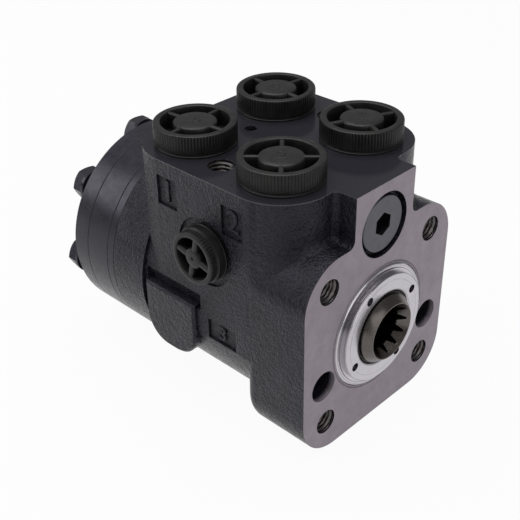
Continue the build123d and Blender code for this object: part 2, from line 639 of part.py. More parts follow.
# ---- cardan shaft and gear set -------------------------------------------------------------------
def cardan_shaft():
    """Fork on the cross pin, slim neck, crowned spline head in the rotor; tilted about the pin."""
    front = PIN_X + FORK_HALF_L
    head_x0 = GEAR_MID_X - HEAD_HALF_L
    head_x1 = GEAR_MID_X + HEAD_HALF_L
    shaft = turned((front, 0), (front, FORK_R - 1), (front - 1, FORK_R), (PIN_X - FORK_HALF_L, FORK_R),
                   (PIN_X - FORK_HALF_L - 3, CARDAN_NECK_R), (head_x1 + 2, CARDAN_NECK_R),
                   (head_x1 - 0.1, HEAD_ROOT_R - 0.5), (head_x1 - 0.1, 0))
    head = prism(spline_sketch(HEAD_ROOT_R, HEAD_TIP_R, 7.2, 4.4), head_x0, head_x1)
    crown = turned((head_x0, 0), (head_x0, HEAD_TIP_R - 1.5), (head_x0 + 1.5, HEAD_TIP_R),
                   (head_x1 - 1.5, HEAD_TIP_R), (head_x1, HEAD_TIP_R - 1.5), (head_x1, 0))
    tilt_play = FORK_R * tan(radians(TILT)) + FORK_PLAY
    half = PIN_R + FORK_PLAY
    slot = block(PIN_X, front + 1, -FORK_R - 1, FORK_R + 1, -half, half)
    slot += across(half, PIN_X - tilt_play)
    slot += block(PIN_X - tilt_play, PIN_X, -FORK_R - 1, FORK_R + 1, -half, half)
    shaft = shaft + (head & crown) - slot
    return Pos(PIN_X, 0, 0) * Rot(0, TILT, 0) * Pos(-PIN_X, 0, 0) * shaft


def rotor_outline():
    """Six-lobe star that always touches all seven ring lobes: equidistant of a curtate epitrochoid.

    The points crowd into the valleys, where the offset curve turns fastest.
    """
    lobes = RING_LOBES - 1
    ratio = LOBE_PCR / (ECCENTRIC * RING_LOBES)
    offset = LOBE_R + MESH_GAP
    crowding = 0.75
    points = []
    steps = 20 * lobes
    for k in range(steps):
        turn = 2 * pi * k / steps
        phi = turn - crowding * sin(lobes * turn) / lobes
        psi = atan2(-sin(lobes * phi), ratio - cos(lobes * phi))
        points.append((LOBE_PCR * cos(phi) - offset * cos(phi + psi) - ECCENTRIC * cos(RING_LOBES * phi),
                       -LOBE_PCR * sin(phi) + offset * sin(phi + psi) + ECCENTRIC * sin(RING_LOBES * phi)))
    return make_face(Spline(*points, periodic=True))


def rotor():
    star = Rot(0, 0, 90) * rotor_outline()
    star -= spline_sketch(DRIVE_MINOR_R, DRIVE_MAJOR_R, 9.6, 6.8)
    return Pos(0, 0, ECCENTRIC) * prism(star, RING_X + SIDE, PLATE_X - SIDE)


def rotor_spacer():
    return bar(SPACER_R, RING_X + 0.05, RING_X + 0.05 + SPACER_T, 0, ECCENTRIC)


def screw_holes(x0, x1):
    return [bar(SCREW_R + FREE, x0, x1, *around(SCREW_PCR, angle)) for angle in LOBE_ANGLES]


def gear_ring():
    root_r = LOBE_PCR - LOBE_R + 2 * ECCENTRIC + 0.05
    lobes = [Pos(*around(LOBE_PCR, angle)) * Circle(LOBE_R) for angle in LOBE_ANGLES]
    chamber = Circle(root_r) - lobes
    return prism(Circle(DRUM_R) - chamber, RING_X, PLATE_X) - screw_holes(RING_X - 1, PLATE_X + 1)


def distributor_plate():
    plate = tube(DRUM_R, PLATE_BORE_R, REAR_X, PLATE_X) - screw_holes(PLATE_X - 1, REAR_X + 1)
    plate -= [bar(FEED_R, PLATE_X - 1, REAR_X + 1, *around(FEED_PCR, angle)) for angle in FEED_ANGLES]
    return plate - tube(SEAL_PCR + CORD / 2, SEAL_PCR - CORD / 2, PLATE_X + SEAL_GROOVE_D, PLATE_X)


def end_cover():
    cover = turned((RING_X, 0), (RING_X, DRUM_R), (COVER_X + COVER_CHAMFER, DRUM_R),
                   (COVER_X, DRUM_R - COVER_CHAMFER), (COVER_X, 0))
    cover -= screw_holes(COVER_X - 1, RING_X + 1)
    return cover - tube(SEAL_PCR + CORD / 2, SEAL_PCR - CORD / 2, RING_X, RING_X - SEAL_GROOVE_D)


def cover_screw(y, z):
    seat = COVER_X - WASHER_T
    tip = REAR_X + SCREW_HOLD
    shank = Pos(0, y, z) * turned((seat, 0), (seat, SCREW_R - THREAD_GAP), (tip - 1, SCREW_R - THREAD_GAP),
                                  (tip, SCREW_R - 1), (tip, 0))
    head = prism(Pos(y, z) * hexagon(SCREW_AF), seat - SCREW_HEAD, seat)
    corner = SCREW_AF / sqrt(3)
    rounded = Pos(0, y, z) * turned((seat, 0), (seat, corner), (seat - SCREW_HEAD + 1, corner),
                                    (seat - SCREW_HEAD, SCREW_AF / 2 - 0.3), (seat - SCREW_HEAD, 0))
    return shank + (head & rounded)


def cover_screws():
    return Compound([cover_screw(*around(SCREW_PCR, angle)) for angle in LOBE_ANGLES])


def cover_washers():
    return Compound([tube(WASHER_R, SCREW_R + FREE, COVER_X, COVER_X - WASHER_T, *around(SCREW_PCR, angle))
                     for angle in LOBE_ANGLES])


# ---- transit plugs -------------------------------------------------------------------------------
def transit_plug(scale, stem_r, turn):
    """Plastic plug standing on z = 0: knurled rim, hub on four spokes, hollow threaded stem below."""
    head_r, rim_r = PLUG_HEAD_R * scale, PLUG_RIM_R * scale
    well_r, hub_r = PLUG_WELL_R * scale, PLUG_HUB_R * scale
    height = PLUG_HEAD_H * (0.5 + scale / 2)
    floor = PLUG_FLOOR * scale
    profile = Polyline((0, 0), (0, head_r - 0.3), (0.3, head_r), (height - (head_r - rim_r), head_r),
                       (height, rim_r), (height, 0), close=True)
    head = revolve(make_face(profile), Axis.X)
    well = tube(well_r, hub_r, height + 1, floor)
    for k in range(4):
        spoke = block(floor - 1, height + 2, 0, well_r + 1, -PLUG_SPOKE_W * scale / 2, PLUG_SPOKE_W * scale / 2)
        well -= Rot(turn + 90 * k, 0, 0) * spoke
    stem = tube(stem_r - PLUG_GAP, stem_r - PLUG_GAP - 2.4 * scale, 0.5, -PLUG_STEM_L * scale)
    return Rot(0, -90, 0) * (head - well - bar(stem_r - PLUG_GAP - 2.4 * scale, -1, floor / 2) + stem)


def port_plug(name):
    x, y, _ = PORTS[name]
    return Pos(x, y, TOP_Z) * transit_plug(1.0, PORT_R, SPOKE_TURN[name])


def ls_plug():
    seat = -BODY_HALF_W + LS_SPOT_DEPTH
    return Pos(LS_X, seat, LS_Z) * Rot(90, 0, 0) * transit_plug(LS_PLUG_SCALE, LS_R, SPOKE_TURN["ls"])


# ---- relief valve --------------------------------------------------------------------------------
def relief_plug():
    front = -RELIEF_PLUG_SET
    rear = front - RELIEF_PLUG_L
    radius = RELIEF_THREAD_R - THREAD_GAP
    plug = turned((front, 0), (front, radius - 0.3), (front - 0.3, radius), (rear + 0.8, radius),
                  (rear, radius - 0.8), (rear, 0))
    plug -= prism(Rot(0, 0, RELIEF_HEX_TURN) * hexagon(RELIEF_AF), front - RELIEF_PLUG_L / 2, front + 1)
    plug -= tube(radius + 1, radius - CORD + 0.2, rear + 2, rear + 2 + CORD)
    return Pos(0, 0, RELIEF_Z) * plug


def relief_seal():
    rear = -RELIEF_PLUG_SET - RELIEF_PLUG_L
    inner, outer = RELIEF_THREAD_R - THREAD_GAP - CORD + 0.2, RELIEF_THREAD_R
    return Pos(0, 0, RELIEF_Z) * seal_cord((inner + outer) / 2, rear + 2, rear + 2 + CORD, outer - inner)


def set_screw(radius, x0, x1, socket_af, y, z):
    """Headless screw with a hexagon socket in its +X end."""
    body = turned((x0, 0), (x0, radius - 0.5), (x0 - 0.5, radius), (x1 + 0.5, radius), (x1, radius - 0.5), (x1, 0))
    return Pos(0, y, z) * (body - prism(hexagon(socket_af), (x0 + x1) / 2, x0 + 1))


def relief_setting_screw():
    return set_screw(RELIEF_BORE_R - THREAD_GAP, RELIEF_SCREW_X0, RELIEF_SCREW_X1, RELIEF_SOCKET_AF, 0, RELIEF_Z)


def relief_spring():
    return coil(RELIEF_COIL_R, RELIEF_WIRE_R, RELIEF_SCREW_X1 - SPRING_SHORT, POPPET_GUIDE_X + SPRING_SHORT,
                0, RELIEF_Z)


def relief_poppet():
    """Guide collar under the spring, stem and cone on the seat's edge."""
    guide = RELIEF_BORE_R - 0.1
    cone_x = SEAT_X - 0.4
    return Pos(0, 0, RELIEF_Z) * turned((POPPET_GUIDE_X, 0), (POPPET_GUIDE_X, guide),
                                        (POPPET_GUIDE_X - 1.5, guide), (POPPET_GUIDE_X - 1.5, RELIEF_STEM_R),
                                        (SEAT_X + 0.8, RELIEF_STEM_R), (cone_x, SEAT_HOLE_R - 0.3), (cone_x, 0))


def relief_seat():
    radius = RELIEF_BORE_R - 0.02
    return Pos(0, 0, RELIEF_Z) * turned((SEAT_X, SEAT_HOLE_R), (SEAT_X, radius), (RELIEF_END_X, radius),
                                        (RELIEF_END_X, SEAT_HOLE_R))


# ---- shock, check and suction valves -------------------------------------------------------------
def shock_set_screws():
    radius = SHOCK_R - THREAD_GAP
    front = -SHOCK_MOUTH_L - 1
    return Compound([set_screw(radius, front, front - SHOCK_SCREW_L, SHOCK_SOCKET_AF, side * SHOCK_Y, SHOCK_Z)
                     for side in (-1, 1)])


def shock_spring(side):
    start = -SHOCK_MOUTH_L - 1 - SHOCK_SCREW_L - SPRING_SHORT
    return coil(SHOCK_COIL_R, SHOCK_WIRE_R, start, SHOCK_SPRING_END - 1.0, side * SHOCK_Y, SHOCK_Z)


def shock_ball(side):
    middle = SHOCK_SPRING_END - SHOCK_BALL_R
    return Pos(middle + SEAT_GAP, side * SHOCK_Y, SHOCK_Z) * Sphere(SHOCK_BALL_R)


def check_bush():
    top = TOP_Z - PORT_DEPTH
    section = Circle(CHECK_R - THREAD_GAP) - hexagon(CHECK_SOCKET_AF)
    bush = Pos(0, 0, top - CHECK_BUSH_L) * extrude(section, CHECK_BUSH_L)
    return Pos(PORTS["p"][2], GALLERY_Y, 0) * bush


def check_ball():
    seat_z = TOP_Z - PORT_DEPTH - CHECK_ROOM
    return Pos(PORTS["p"][2], GALLERY_Y, seat_z + CHECK_RISE) * Sphere(CHECK_BALL_R)


def suction_ball(name):
    y, z = around(SUCTION_PCR, SUCTION_ANGLES[name])
    seat_x = REAR_X + SUCTION_L
    rise = sqrt(SUCTION_BALL_R ** 2 - SUCTION_HOLE_R ** 2) + SEAT_GAP
    return Pos(seat_x - rise, y, z) * Sphere(SUCTION_BALL_R)


def suction_stops():
    """Pins between the plate and the balls that limit the balls' travel."""
    stops = []
    for angle in SUCTION_ANGLES.values():
        y, z = around(SUCTION_PCR, angle)
        stops.append(bar(STOP_R, REAR_X, REAR_X + SUCTION_L / 2, y, z))
    return Compound(stops)


PIECES = {
    "front_bush": front_bush, "bush_o_ring": bush_o_ring, "dust_seal": dust_seal,
    "shaft_seal": shaft_seal, "bearing_race_outer": bearing_race_outer, "bearing_race_inner": bearing_race_inner,
    "bearing_cage": bearing_cage, "bearing_needles": bearing_needles, "spool": spool, "sleeve": sleeve,
    "spring_ring": spring_ring, "centring_springs": centring_springs, "cross_pin": cross_pin,
    "cardan_shaft": cardan_shaft, "rotor": rotor, "rotor_spacer": rotor_spacer, "gear_ring": gear_ring,
    "distributor_plate": distributor_plate, "end_cover": end_cover, "cover_screws": cover_screws,
    "cover_washers": cover_washers, "ls_plug": ls_plug, "relief_plug": relief_plug, "relief_seal": relief_seal,
    "relief_setting_screw": relief_setting_screw, "relief_spring": relief_spring, "relief_poppet": relief_poppet,
    "relief_seat": relief_seat, "shock_set_screws": shock_set_screws, "check_bush": check_bush,
    "check_ball": check_ball, "suction_stops": suction_stops,
}


def main():
    os.makedirs("parts", exist_ok=True)
    casting = housing()
    export_step(mounting_flange(casting), "parts/mounting_flange.step")
    export_step(valve_housing(casting), "parts/housing.step")
    for name, build in PIECES.items():
        export_step(build(), f"parts/{name}.step")
    for name in PORTS:
        export_step(port_plug(name), f"parts/port_plug_{name}.step")
    for name, side in (("left", 1), ("right", -1)):
        export_step(shock_spring(side), f"parts/shock_spring_{name}.step")
        export_step(shock_ball(side), f"parts/shock_ball_{name}.step")
        export_step(suction_ball(name), f"parts/suction_ball_{name}.step")
    faces = {"housing_plate": (REAR_X, 1), "plate_ring": (PLATE_X, 1), "ring_cover": (RING_X, -1)}
    for name, (x, side) in faces.items():
        cord = seal_cord(SEAL_PCR, x, x + side * SEAL_GROOVE_D, CORD - 0.1)
        export_step(cord, f"parts/o_ring_{name}.step")


main()
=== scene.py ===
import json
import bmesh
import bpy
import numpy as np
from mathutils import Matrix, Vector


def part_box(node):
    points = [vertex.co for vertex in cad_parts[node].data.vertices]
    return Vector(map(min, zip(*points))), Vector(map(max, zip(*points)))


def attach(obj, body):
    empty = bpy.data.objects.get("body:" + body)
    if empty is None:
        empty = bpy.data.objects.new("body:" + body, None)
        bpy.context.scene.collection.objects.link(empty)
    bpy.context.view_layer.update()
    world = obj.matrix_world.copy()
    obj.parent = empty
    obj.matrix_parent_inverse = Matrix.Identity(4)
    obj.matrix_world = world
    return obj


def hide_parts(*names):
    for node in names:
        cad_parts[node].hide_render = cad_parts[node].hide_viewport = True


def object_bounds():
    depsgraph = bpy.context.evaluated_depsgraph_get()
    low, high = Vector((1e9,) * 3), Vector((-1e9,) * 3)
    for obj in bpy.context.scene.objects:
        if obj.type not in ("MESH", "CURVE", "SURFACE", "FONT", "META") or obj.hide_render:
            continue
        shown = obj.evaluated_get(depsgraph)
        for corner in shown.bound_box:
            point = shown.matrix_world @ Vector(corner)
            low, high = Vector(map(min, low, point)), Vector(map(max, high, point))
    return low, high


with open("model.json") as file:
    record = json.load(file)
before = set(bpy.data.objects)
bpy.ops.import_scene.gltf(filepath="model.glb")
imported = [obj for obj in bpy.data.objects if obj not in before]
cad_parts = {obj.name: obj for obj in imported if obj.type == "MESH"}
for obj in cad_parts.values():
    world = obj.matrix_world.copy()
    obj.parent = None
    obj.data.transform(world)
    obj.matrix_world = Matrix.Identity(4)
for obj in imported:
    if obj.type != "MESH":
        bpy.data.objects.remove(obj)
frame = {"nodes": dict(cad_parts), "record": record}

# %% [markdown]
# # An orbital steering unit
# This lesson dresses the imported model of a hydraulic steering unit: a rough black casting with
# machined faces, a steel bush round a splined input, a bolted gear set, and five transit plugs.
# The CAD nodes are the frame. We keep most of them, give each a procedural finish, and add the
# surfaces that only show close up: knurls, spokes, threads and numerals.

CAD_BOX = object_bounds()
MM = 0.001
TAU = 2 * np.pi
nodes = frame["nodes"]
print("nodes:", len(nodes))
for corner in CAD_BOX:
    print("corner of the box in mm:", [round(float(v) / MM, 1) for v in corner])

# %% [markdown]
# ## Places taken from the frame
# A piece goes where the CAD says. The box of each plug gives the middle of its port, and the top
# of the housing's box is the port face. The side face is no limit of that box, because the boss
# stands out further, so its place is a number.

# %% Places
TOP_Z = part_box("housing")[1][2]
SIDE_Y = -41.75 * MM
SPOT_FACE = 0.8 * MM
LS_SEAT = SIDE_Y + SPOT_FACE


def middle(node):
    """Middle of a node's box."""
    low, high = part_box(node)
    return (np.array(low) + np.array(high)) / 2


for name in ("port_plug_p", "port_plug_t", "port_plug_l", "port_plug_r", "ls_plug"):
    print(name, np.round(middle(name) / MM, 2))

# %% [markdown]
# ## Surfaces from arrays
# Every new piece is a surface of two parameters. Its points form a grid, worked out as one array,
# and `grid_faces` makes quads between neighbours. A direction that runs all the way round is
# closed on itself. `mesh_object` joins such shells into one piece. Where a row shrinks to a pole,
# merging its doubles turns the quads there into triangles. Primitives and modifiers could do some
# of this, but a formula says exactly where each point lies.

# %% Grid to mesh
MERGE_DISTANCE = 1e-7


def grid_faces(rows, columns, wrap_rows, wrap_columns):
    """Quads between grid point (i, j) and its neighbours (i, j+1), (i+1, j+1), (i+1, j)."""
    i = np.arange(rows if wrap_rows else rows - 1)
    j = np.arange(columns if wrap_columns else columns - 1)
    i, j = np.meshgrid(i, j, indexing="ij")
    i2, j2 = (i + 1) % rows, (j + 1) % columns
    quads = [i * columns + j, i * columns + j2, i2 * columns + j2, i2 * columns + j]
    return np.stack(quads, axis=-1).reshape(-1, 4)


def finished_object(name, mesh, smooth_angle):
    """Smooth shading with sharp edges over an angle in degrees, and an object at the origin."""
    mesh.shade_smooth()
    mesh.set_sharp_from_angle(angle=np.radians(smooth_angle))
    piece = bpy.data.objects.new(name, mesh)
    bpy.context.scene.collection.objects.link(piece)
    print(name, len(mesh.polygons), "faces")
    return piece


def mesh_object(name, shells, smooth_angle, merge=True):
    """One object from several (points, faces) shells; doubles are merged, faces turned outwards."""
    points, faces, start = [], [], 0
    for shell_points, shell_faces in shells:
        points.append(shell_points.reshape(-1, 3))
        faces += (shell_faces + start).tolist()
        start += len(points[-1])
    mesh = bpy.data.meshes.new(name)
    mesh.from_pydata(np.concatenate(points).tolist(), [], faces)
    work = bmesh.new()
    work.from_mesh(mesh)
    if merge:
        bmesh.ops.remove_doubles(work, verts=work.verts, dist=MERGE_DISTANCE)
    bmesh.ops.recalc_face_normals(work, faces=work.faces)
    work.to_mesh(mesh)
    work.free()
    return finished_object(name, mesh, smooth_angle)


# %% [markdown]
# ### Turning and placing
# A turned part is its outline swept round an axis. The outline is closed, so the shell is
# watertight, and a ripple may move its points in and out on the way round, which makes the ribs of
# a knurl.

# %% Turned shells
def turned_shell(profile, steps, ripple):
    """Closed profile of (radius, height) points turned round Z.

    x = r cos t, y = r sin t, z = h, where r gains ripple(t, h).
    """
    t = np.linspace(0, TAU, steps, endpoint=False)
    r = np.repeat(profile[None, :, 0], steps, axis=0) + ripple(t[:, None], profile[None, :, 1])
    h = np.repeat(profile[None, :, 1], steps, axis=0)
    points = np.stack([r * np.cos(t)[:, None], r * np.sin(t)[:, None], h], axis=-1)
    return points, grid_faces(steps, profile.shape[0], True, True)


def placed(shell, matrix):
    """The shell's points carried by a 4x4 matrix."""
    points, faces = shell
    flat = points.reshape(-1, 3) @ np.array(matrix.to_3x3()).T + np.array(matrix.translation)
    return flat, faces


# %% [markdown]
# ## The transit plug
# A transit plug is a moulded cap: a knurled rim that fingers can grip, a flat hub held by four
# spokes that lie flush with the rim, and a short stem. It could be cut out of cylinders with
# Booleans, but the body is round apart from its ribs, so one outline turned round its axis makes
# it. Radii, heights and widths are in millimetres. The well is the ring-shaped hollow between hub
# and rim, the dimple is the mark of the mould's gate, and the barrel is the wall below the ribs.

# %% Plug sizes
PORT_PLUG = {"head": 15.7, "well": 12.9, "hub": 8.2, "floor": 2.0, "height": 8.5,
             "stem_r": 10.3, "stem": 11.0, "spoke": 2.0, "dimple": 0.0, "knurl_foot": 1.7,
             "barrel": 15.5, "ribs": 84}
LS_HEIGHT = float(LS_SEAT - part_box("ls_plug")[0][1]) / MM
SIDE_PLUG = {"head": 10.5, "well": 8.3, "hub": 4.0, "floor": 2.2, "height": LS_HEIGHT,
             "stem_r": 6.42, "stem": 7.7, "spoke": 2.6, "dimple": 0.5,
             "knurl_foot": LS_HEIGHT - 2.9, "barrel": 10.95, "ribs": 52}
HUB_DROP, STEM_WALL, STEM_CEILING, SEAT_GAP = 0.12, 1.8, 0.8, 0.02
GROOVE, BEAD = 0.25, 0.2
print("side plug stands", round(LS_HEIGHT, 2), "mm proud of its seat")


# %% [markdown]
# ### From outline to turned cap
# The outline is a short list of corners, with each edge rounded by two or three of them. Each edge
# is divided before turning, so that the knurl has points to move, and a fade at both ends lets the
# ribs run out smoothly. The ribs are cut into the outer wall only.

# %% Plug body
def divided(points, per_edge):
    """Adds evenly spaced points along each edge of a closed outline."""
    ends = np.roll(points, -1, axis=0)
    share = np.linspace(0, 1, per_edge, endpoint=False)[None, :, None]
    return (points[:, None, :] * (1 - share) + ends[:, None, :] * share).reshape(-1, 2)


def plug_profile(plug):
    """Half section of a plug as (radius, height) in metres, from the hub's middle and round."""
    head, well, hub, barrel = plug["head"], plug["well"], plug["hub"], plug["barrel"]
    top, foot, floor = plug["height"], plug["knurl_foot"], plug["floor"]
    stem_r, stem_end, flat = plug["stem_r"], -plug["stem"], top - HUB_DROP
    hub_top = [(0, flat - plug["dimple"]), (0.45, flat - plug["dimple"]), (0.8, flat),
               (hub - 0.9, top - 0.2), (hub - 0.3, top - 0.4), (hub, top - 0.8)]
    well_walls = [(hub, floor), (well, floor), (well, top - 0.4)]
    rim = [(well + 0.12, flat), (well + 0.4, top), (head - 0.85, top), (head - 0.35, top - 0.1),
           (head - 0.05, top - 0.42), (head, top - 0.9), (head, foot)]
    groove = [(barrel - GROOVE, foot - 0.2), (barrel - GROOVE, foot - 0.4), (barrel, foot - 0.6)]
    bead = [(barrel, 0.75), (barrel + BEAD, 0.6), (barrel + BEAD, 0.2), (barrel, SEAT_GAP)]
    stem = [(stem_r, SEAT_GAP), (stem_r, stem_end), (stem_r - STEM_WALL, stem_end),
            (stem_r - STEM_WALL, STEM_CEILING), (0, STEM_CEILING)]
    return np.array(hub_top + well_walls + rim + groove + bead + stem) * MM


KNURL_DEPTH, FADE_FOOT, FADE_TOP = 0.34 * MM, 0.25 * MM, 0.2 * MM


def knurl(plug, radii):
    """Ripple: -depth (1 - |sin(ribs t / 2)|) on the outer wall, faded out at both ends."""
    low, high = plug["knurl_foot"] * MM, (plug["height"] - 0.25) * MM
    outer = radii[None, :] > (plug["head"] - 0.6) * MM

    def ripple(t, h):
        from_foot = np.clip((h - low + 0.1 * MM) / FADE_FOOT, 0, 1)
        fade = from_foot * np.clip((high - h) / FADE_TOP, 0, 1)
        return -KNURL_DEPTH * fade * outer * (1 - np.abs(np.sin(plug["ribs"] * t / 2)))
    return ripple


# %% [markdown]
# ### Spokes
# A spoke is a bar with a rounded square section. A cube with a Bevel would do, but the same grid
# makes it from a superellipse. Its ends are buried in the hub and in the rim's wall, so that no
# seam shows.

# %% Spokes and whole plugs
SPOKES, SPOKE_POINTS, SQUARENESS, STEPS_PER_RIB = 4, 24, 5, 8


def spoke_shell(plug, angle):
    """Bar along the radius: section |y/a|^5 + |z/b|^5 = 1, from hub to rim, turned by angle."""
    inner, outer = (plug["hub"] - 0.5) * MM, (plug["well"] + 0.3) * MM
    low, high = (plug["floor"] - 0.3) * MM, (plug["height"] - 0.28) * MM
    turn = np.linspace(0, TAU, SPOKE_POINTS, endpoint=False)
    c, s = np.cos(turn), np.sin(turn)
    across = plug["spoke"] / 2 * MM * np.sign(c) * np.abs(c) ** (2 / SQUARENESS)
    rise = (high - low) / 2 * np.sign(s) * np.abs(s) ** (2 / SQUARENESS)
    reach = np.array([inner, inner, outer, outer])
    swell = np.array([0.0, 1.0, 1.0, 0.0])[:, None]
    x = np.repeat(reach[:, None], turn.size, axis=1)
    y = swell * across[None, :]
    z = swell * rise[None, :] + (high + low) / 2
    turned_x = x * np.cos(angle) - y * np.sin(angle)
    turned_y = x * np.sin(angle) + y * np.cos(angle)
    points = np.stack([turned_x, turned_y, z], -1)
    return points, grid_faces(reach.size, turn.size, False, True)


def plug_shells(plug, spoke_angle, place):
    """Turned body and spokes of one plug, carried to its place."""
    profile = divided(plug_profile(plug), 2)
    body = turned_shell(profile, plug["ribs"] * STEPS_PER_RIB, knurl(plug, profile[:, 0]))
    angles = [np.radians(spoke_angle + 360 / SPOKES * k) for k in range(SPOKES)]
    return [placed(shell, place) for shell in [body] + [spoke_shell(plug, a) for a in angles]]


# %% [markdown]
# ### Plugs in their ports
# Every plug was screwed in by hand and stopped at its own angle, so each has its own spoke angle.
# They stand for the CAD's plain plugs, and each rides on the body that comes out of its port.
# Linked copies of one mesh would save memory, but a piece's place has to be in its mesh.

# %% Five plugs
PLUG_SMOOTH = 40
SPOKE_ANGLES = {"port_plug_p": -25.0, "port_plug_t": 42.0, "port_plug_l": -6.0, "port_plug_r": 6.0}
LS_SPOKE_ANGLE = 77.0
BODY_OF_PLUG = {"port_plug_p": "plug_p_body", "port_plug_t": "plug_t_body",
                "port_plug_l": "plug_l_body", "port_plug_r": "plug_r_body",
                "ls_plug": "plug_ls_body"}
plugs = {}
for name, spoke_angle in SPOKE_ANGLES.items():
    place = middle(name)
    where = Matrix.Translation((place[0], place[1], TOP_Z))
    shells = plug_shells(PORT_PLUG, spoke_angle, where)
    plugs[name] = mesh_object("knurled_" + name, shells, PLUG_SMOOTH)

place = middle("ls_plug")
where = Matrix.Translation((place[0], LS_SEAT, place[2])) @ Matrix.Rotation(TAU / 4, 4, "X")
shells = plug_shells(SIDE_PLUG, LS_SPOKE_ANGLE, where)
plugs["ls_plug"] = mesh_object("knurled_ls_plug", shells, PLUG_SMOOTH)
for name, piece in plugs.items():
    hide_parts(name)
    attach(piece, BODY_OF_PLUG[name])

# %% [markdown]
# ## The splined nose
# The column's shaft plugs into the end of the spool. Its nose is a cone, and inside it a shallower
# cone cuts into the twelve teeth, so each tooth starts as a thin wedge. A Boolean of two cones
# would leave slivers there. One surface of angle and outline has none: in each direction the
# hole's radius is the larger of the toothed outline and the lead-in cone.

# %% Nose surface
SPOOL_R, NOSE_CUT, NOSE_TIP = 14.0 * MM, 1.6 * MM, float(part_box("spool")[1][0])
TEETH, TOOTH_R, ROOT_R = 12, 8.7 * MM, 10.5 * MM
LEAD_DEPTH, LEAD_R = 4.4 * MM, 11.2 * MM
SPACE_TIP, SPACE_ROOT = np.radians(8.6), np.radians(2.2)
STEPS_PER_TOOTH, HOLE_STATIONS = 36, 18
print("nose from", round(NOSE_CUT / MM, 1), "to", round(NOSE_TIP / MM, 1), "mm along X")


def nose_shell():
    """Ring turned round X: hole radius is the larger of the toothed outline and the lead-in cone.

    The toothed outline is the root radius in a space, the tooth radius on a tooth, a ramp between.
    """
    t = np.arange(TEETH * STEPS_PER_TOOTH) * TAU / (TEETH * STEPS_PER_TOOTH)
    off = np.abs((t * TEETH / TAU + 0.5) % 1 - 0.5) * TAU / TEETH
    flank = np.clip((off - SPACE_ROOT) / (SPACE_TIP - SPACE_ROOT), 0, 1)
    toothed = ROOT_R - (ROOT_R - TOOTH_R) * flank
    stations = np.linspace(NOSE_CUT, NOSE_TIP - 0.15 * MM, HOLE_STATIONS)
    x_in = np.concatenate([stations, [NOSE_TIP - 0.04 * MM]])
    cone = LEAD_R - (LEAD_R - TOOTH_R) * (NOSE_TIP - x_in) / LEAD_DEPTH
    hole = np.maximum(toothed[:, None], cone[None, :])
    outside = np.array([(NOSE_TIP, LEAD_R + 0.12 * MM), (NOSE_TIP, LEAD_R + 0.3 * MM),
                        (NOSE_TIP - 0.12 * MM, LEAD_R + 0.5 * MM),
                        (NOSE_TIP - 2.9 * MM, SPOOL_R - 0.12 * MM),
                        (NOSE_TIP - 3.1 * MM, SPOOL_R), (NOSE_CUT, SPOOL_R)])
    radius = np.concatenate([hole, np.repeat(outside[None, :, 1], t.size, axis=0)], axis=1)
    x = np.repeat(np.concatenate([x_in, outside[:, 0]])[None, :], t.size, axis=0)
    points = np.stack([x, radius * np.cos(t)[:, None], radius * np.sin(t)[:, None]], axis=-1)
    return points, grid_faces(t.size, x.shape[1], True, True)


# %% [markdown]
# ### Spool with its new nose
# The rest of the spool keeps the CAD's shape. A copy of its mesh is cut off just inside the bush
# and closed with a flat cap, and the nose starts there. The CAD's own mesh is never touched.

# %% Splined spool
NOSE_SMOOTH = 28


def cut_spool():
    """The spool's own triangles, merged, cut off at x = NOSE_CUT and closed there."""
    work = bmesh.new()
    work.from_mesh(nodes["spool"].data)
    bmesh.ops.remove_doubles(work, verts=work.verts, dist=MERGE_DISTANCE)
    everything = work.verts[:] + work.edges[:] + work.faces[:]
    cut = bmesh.ops.bisect_plane(work, geom=everything, dist=1e-8, plane_co=(NOSE_CUT, 0, 0),
                                 plane_no=(1, 0, 0), clear_outer=True)
    rim = [part for part in cut["geom_cut"] if isinstance(part, bmesh.types.BMEdge)]
    bmesh.ops.triangle_fill(work, edges=rim, use_beauty=True, normal=(1, 0, 0))
    bmesh.ops.triangulate(work, faces=work.faces)
    points = np.array([vert.co for vert in work.verts])
    faces = np.array([[vert.index for vert in face.verts] for face in work.faces])
    work.free()
    return points, faces


splined_spool = mesh_object("splined_spool", [cut_spool(), nose_shell()], NOSE_SMOOTH, merge=False)
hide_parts("spool")
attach(splined_spool, "spool_body")

# %% [markdown]
# ## Tapped holes
# Threads show in the flange holes and in the two holes for the pipe block. A Screw modifier could
# wind them, but here each is a liner that lies against the drilled wall. Its radius is the major
# radius minus a rounded triangle wave of (height / pitch - t / turn), which winds into a helix.

# %% Thread surface
THREAD_R, THREAD_DEPTH, THREAD_PITCH, THREAD_MOUTH = 4.98 * MM, 0.85 * MM, 1.5 * MM, -0.5 * MM
TURN_POINTS, STATIONS_PER_PITCH = 60, 8


def thread_liner(bottom):
    """Liner along Z: outside r = major; inside r = major - depth (1 - |saw|^1.3), saw = phase."""
    turns = np.linspace(0, TAU, TURN_POINTS, endpoint=False)
    stations = np.arange(bottom, THREAD_MOUTH, THREAD_PITCH / STATIONS_PER_PITCH)
    t, h = np.meshgrid(turns, stations, indexing="ij")
    saw = np.abs(2 * ((h / THREAD_PITCH - t / TAU) % 1) - 1)
    fade = np.clip((THREAD_MOUTH - h) / THREAD_PITCH, 0, 1)
    inner = THREAD_R - THREAD_DEPTH * fade * (1 - saw ** 1.3)
    outer = np.full((turns.size, 2), THREAD_R)
    radius = np.concatenate([inner, outer], axis=1)
    ends = np.tile([[stations[-1], stations[0]]], (turns.size, 1))
    height = np.concatenate([h, ends], axis=1)
    angle = np.repeat(turns[:, None], radius.shape[1], axis=1)
    points = np.stack([radius * np.cos(angle), radius * np.sin(angle), height], axis=-1)
    return points, grid_faces(turns.size, radius.shape[1], True, True)


# %% [markdown]
# ### Liners in their holes
# The mounts in the record say where the holes are: four on a circle in the mounting face, for the
# steering column, and two in the port face.

